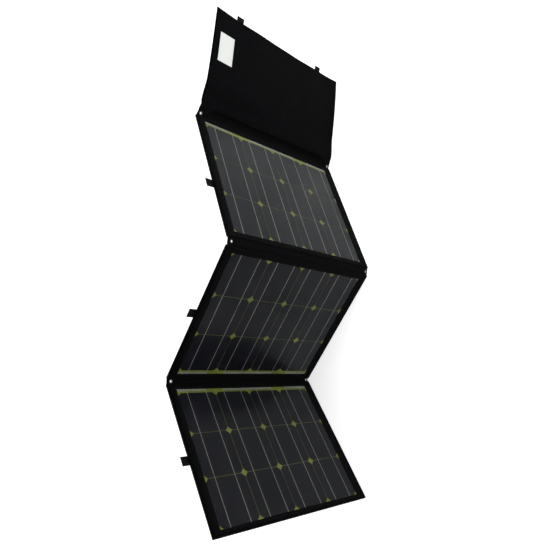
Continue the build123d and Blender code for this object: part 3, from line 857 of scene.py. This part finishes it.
def flap_binding():
    """Tape round the flap's three free edges, following its twist, and its sewing."""
    edge = spread(8 / FLAP_LENGTH, 1 - 4 / FLAP_LENGTH, 6 / FLAP_LENGTH)
    stations = []
    for s in edge:
        p, _, up, n = flap_frame(s, 0.0)
        stations.append((p, up, n))
    p, away, up, n = flap_frame(1.0, 0.0)
    stations.append((p, up - away, n))
    for v in spread(5 / HEIGHT, 1 - 5 / HEIGHT, 6 / HEIGHT):
        p, away, _, n = flap_frame(1.0, v)
        stations.append((p, -away, n))
    p, away, up, n = flap_frame(1.0, 1.0)
    stations.append((p, -away - up, n))
    for s in edge[::-1]:
        p, _, up, n = flap_frame(s, 1.0)
        stations.append((p, -up, n))
    obj = sweep("flap_tape", stations, tape_profile(LEG, FLAP, TAPE), TAPE_CLOTH)
    sharpen(obj)
    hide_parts("flap_binding")
    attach(obj, "flap")
    return [tape_seam(stations, FLAP, side, np.array([side * n for _, _, n in stations])) for side in (-1, 1)]


def flap_label():
    """A blank cloth label on the flap's face, sewn round its edge."""
    low, high = FLAP_RUN.limits("flap_label")
    xs, zs = spread(low[0] - LABEL_SHIFT, high[0] - LABEL_SHIFT, 3), spread(low[2], high[2], 3)
    local = np.array([[flap_at(x, z) for z in zs] for x in xs])
    lift = np.array([[0.10 * noise.noise(Vector((x * 0.08, z * 0.08, 4.0))) for z in zs] for x in xs])
    rim = np.ones(lift.shape)
    rim[0], rim[-1], rim[:, 0], rim[:, -1] = 0.4, 0.4, 0.4, 0.4
    middle = FLAP_RUN.world(local - np.array([0, FLAP + 0.42, 0]))
    normal = np.tile(FLAP_RUN.axes[1], (*lift.shape, 1))
    uv = np.stack(np.meshgrid(xs / 1000, zs / 1000, indexing="ij"), axis=-1)
    obj = double("flap_label_cloth", middle, normal, 0.16 * rim + lift, 0.16 * rim - lift, uv, LABEL)
    sharpen(obj)
    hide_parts("flap_label")
    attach(obj, "flap")
    seam = np.concatenate([local[1:-1, 1], local[-2, 1:-1], local[1:-1, -2][::-1], local[1, 1:-1][::-1]])
    line = FLAP_RUN.world(seam - np.array([0, FLAP + 0.62, 0]))
    normals = np.tile(-FLAP_RUN.axes[1], (len(line), 1))
    sew("flap_label_stitches", "flap", [(line, normals)], LABEL_SEWING, 2.0, 0.8)


def flap_tabs():
    low, high = FLAP_RUN.limits("flap_tabs")
    seams = []
    for k, z in enumerate((low[2] + TAB_WIDTH / 2, high[2] - TAB_WIDTH / 2)):
        points = [flap_frame(1.0, (z + w) / HEIGHT)[0] for w in tab_widths()]
        _, away, up, n = flap_frame(1.0, z / HEIGHT)
        seams.append(webbing_tab(f"flap_webbing_tab_{k + 1}", "flap", up, points, away, n,
                                 high[0] - FLAP_LENGTH, FLAP + TAPE, "flap_tabs" if k == 0 else None))
    return seams


# ---- put together ----------------------------------------------------------------------

finish_nodes()
for body in PANELS:
    shape = PanelShape(body)
    window_seam = front_cloth(shape)
    back_cloth(shape)
    seams = panel_binding(shape)
    sew(f"{body}_stitches", body, [window_seam, side_tab(shape)] + seams)
folds()
flap_cloth()
seams = flap_binding()
flap_label()
sew("flap_stitches", "flap", seams + flap_tabs())

# ---- floor, lights and camera ----------------------------------------------------------


def floor():
    s = Shader("pale_floor", Roughness=0.9, Specular_IOR_Level=0.05, Emission_Strength=0.47,
               Emission_Color=(1.0, 1.0, 1.0))
    tone = s.noise(s.place(), 0.6, 2.0)
    s.finish(Base_Color=s.mix(tone, (0.93, 0.93, 0.93), (0.95, 0.95, 0.95)))
    half, rise = 15.0, 6.0  # metres; the edge turns up so that low views see no horizon
    corners = [(x * half, y * half, z) for z in (0, rise) for x, y in ((-1, -1), (1, -1), (1, 1), (-1, 1))]
    faces = [(0, 1, 2, 3)] + [(i, i + 4, (i + 1) % 4 + 4, (i + 1) % 4) for i in range(4)]
    obj = make("floor", corners, faces, [(0, 0), (1, 0), (1, 1), (0, 1)] * 2, s.material)


def lamp(name, at, target, size, power):
    data = bpy.data.lights.new(name, "AREA")
    data.shape, data.size, data.size_y, data.energy = "RECTANGLE", size[0], size[1], power
    obj = bpy.data.objects.new(name, data)
    obj.location = at
    obj.rotation_euler = (Vector(target) - Vector(at)).to_track_quat("-Z", "Y").to_euler()
    bpy.context.scene.collection.objects.link(obj)


floor()
world = bpy.data.worlds.new("studio")
world.use_nodes = True
world.node_tree.nodes["Background"].inputs["Color"].default_value = (1.0, 1.0, 1.0, 1.0)
world.node_tree.nodes["Background"].inputs["Strength"].default_value = 0.58
bpy.context.scene.world = world
lamp("key", (1.2, -0.8, 1.7), (0.45, -0.3, 0.0), (0.9, 0.9), 22.0)
lamp("fill", (-1.4, -0.6, 2.6), (-0.3, 0.0, 0.0), (2.0, 2.0), 12.0)

camera = bpy.data.cameras.new("camera")
camera.sensor_width, camera.lens = 36.0, 31.75
camera.shift_x, camera.shift_y = -0.0235, 0.0398
camera.clip_start, camera.clip_end = 0.05, 60.0
eye = bpy.data.objects.new("camera", camera)
right = Vector((-0.01406, -0.68132, -0.73185))
down = Vector((-0.98531, 0.13401, -0.10584))
ahead = Vector((0.17019, 0.71961, -0.6732))
eye.matrix_world = Matrix.Translation((-0.3642, -1.0984, 1.2530)) @ Matrix(
    [[right[i], -down[i], -ahead[i]] for i in range(3)]).to_4x4()
bpy.context.scene.collection.objects.link(eye)
bpy.context.scene.camera = eye
bpy.context.scene.view_settings.view_transform = "Standard"
